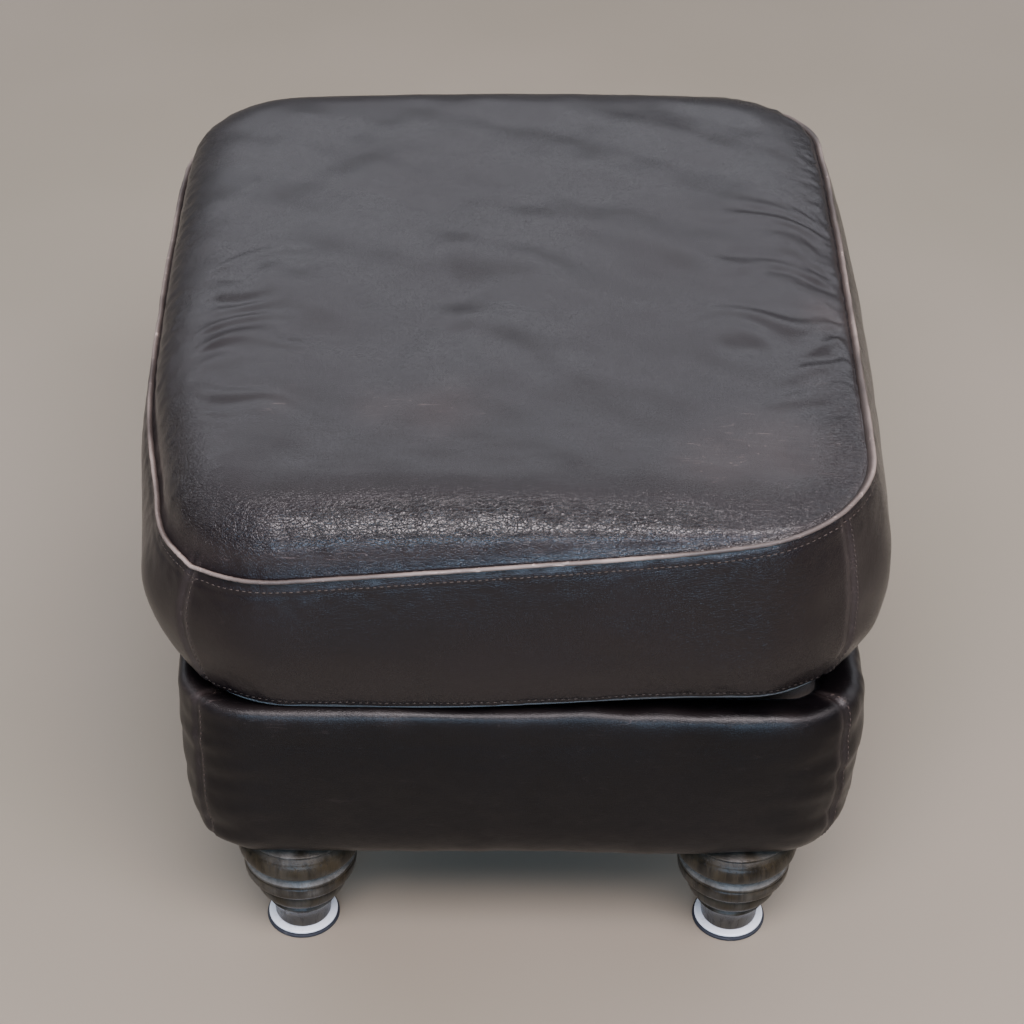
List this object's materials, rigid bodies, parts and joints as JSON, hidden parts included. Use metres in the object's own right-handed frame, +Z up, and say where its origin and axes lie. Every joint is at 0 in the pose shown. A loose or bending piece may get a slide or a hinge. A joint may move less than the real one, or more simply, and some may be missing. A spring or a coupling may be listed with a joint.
{
  "type": "leather ottoman",
  "caption": "Rectangular dark leather ottoman with a loose crowned box cushion on a padded base, standing on turned beehive feet with glides.",
  "frame": {"origin": "on the floor under the middle of the ottoman", "axes": "+Z up, -Y the front, which is one of the two narrow sides, +X to the right seen from the front"},
  "size_m": [0.604, 0.728, 0.483],
  "materials": {
    "leather": "dark espresso hide, satin, lightly pebbled",
    "worn_edge_leather": "same hide with a rubbed, paler edge",
    "brown_cloth": "plain woven lining cloth",
    "foam": "cream upholstery foam, matt",
    "fibre_wadding": "white polyester wadding",
    "black_cloth": "black nonwoven or tape cloth",
    "antique_brass": "darkened brass, satin",
    "frame_wood": "sawn hardwood",
    "stained_wood": "turned hardwood, dark stain, satin lacquer",
    "steel": "zinc plated",
    "white_nylon": "white nylon",
    "dark_rubber": "dark blue-black rubber",
    "elastic_webbing": "elastic upholstery webbing"
  },
  "bodies": {
    "base": {"base_panel_front": "leather", "base_panel_right": "leather", "base_panel_back": "leather", "base_panel_left": "leather", "base_side_padding": "foam", "deck_cloth": "brown_cloth", "deck_pad": "foam", "dust_cover": "black_cloth", "front_rail": "frame_wood", "back_rail": "frame_wood", "right_rail": "frame_wood", "left_rail": "frame_wood", "leg_block_front_left": "frame_wood", "foot_front_left": "stained_wood", "hanger_bolt_front_left": "steel", "tee_nut_front_left": "steel", "glide_disc_front_left": "white_nylon", "glide_pad_front_left": "dark_rubber", "leg_block_front_right": "frame_wood", "foot_front_right": "stained_wood", "hanger_bolt_front_right": "steel", "tee_nut_front_right": "steel", "glide_disc_front_right": "white_nylon", "glide_pad_front_right": "dark_rubber", "leg_block_back_right": "frame_wood", "foot_back_right": "stained_wood", "hanger_bolt_back_right": "steel", "tee_nut_back_right": "steel", "glide_disc_back_right": "white_nylon", "glide_pad_back_right": "dark_rubber", "leg_block_back_left": "frame_wood", "foot_back_left": "stained_wood", "hanger_bolt_back_left": "steel", "tee_nut_back_left": "steel", "glide_disc_back_left": "white_nylon", "glide_pad_back_left": "dark_rubber", "webbing_long_1": "elastic_webbing", "webbing_long_2": "elastic_webbing", "webbing_long_3": "elastic_webbing", "webbing_cross_1": "elastic_webbing", "webbing_cross_2": "elastic_webbing", "webbing_cross_3": "elastic_webbing", "webbing_cross_4": "elastic_webbing"},
    "cushion": {"cushion_band_front": "leather", "cushion_band_right": "leather", "cushion_band_left": "leather", "cushion_band_back_upper": "leather", "cushion_band_back_lower": "leather", "cushion_top_panel": "leather", "cushion_top_welt": "worn_edge_leather", "cushion_bottom_panel": "brown_cloth", "cushion_fibre_wrap": "fibre_wadding", "cushion_foam_core": "foam", "zip_tape_upper": "black_cloth", "zip_tape_lower": "black_cloth", "zip_chain": "antique_brass"},
    "slider": {"zip_slider": "antique_brass"},
    "pull": {"zip_pull": "antique_brass"}
  },
  "joints": [
    {"name": "cushion_lift", "type": "slide", "parent": "base", "child": "cushion", "axis": [0, 0, 1], "range_m": [0, 0.16]},
    {"name": "zip_slide", "type": "slide", "parent": "cushion", "child": "slider", "axis": [-1, 0, 0], "range_m": [0, 0.354]},
    {"name": "zip_pull_hinge", "type": "hinge", "parent": "slider", "child": "pull", "pos_m": [0.177, 0.35231, 0.302], "axis": [0, 0, -1], "range_deg": [0, 150]}
  ]
}
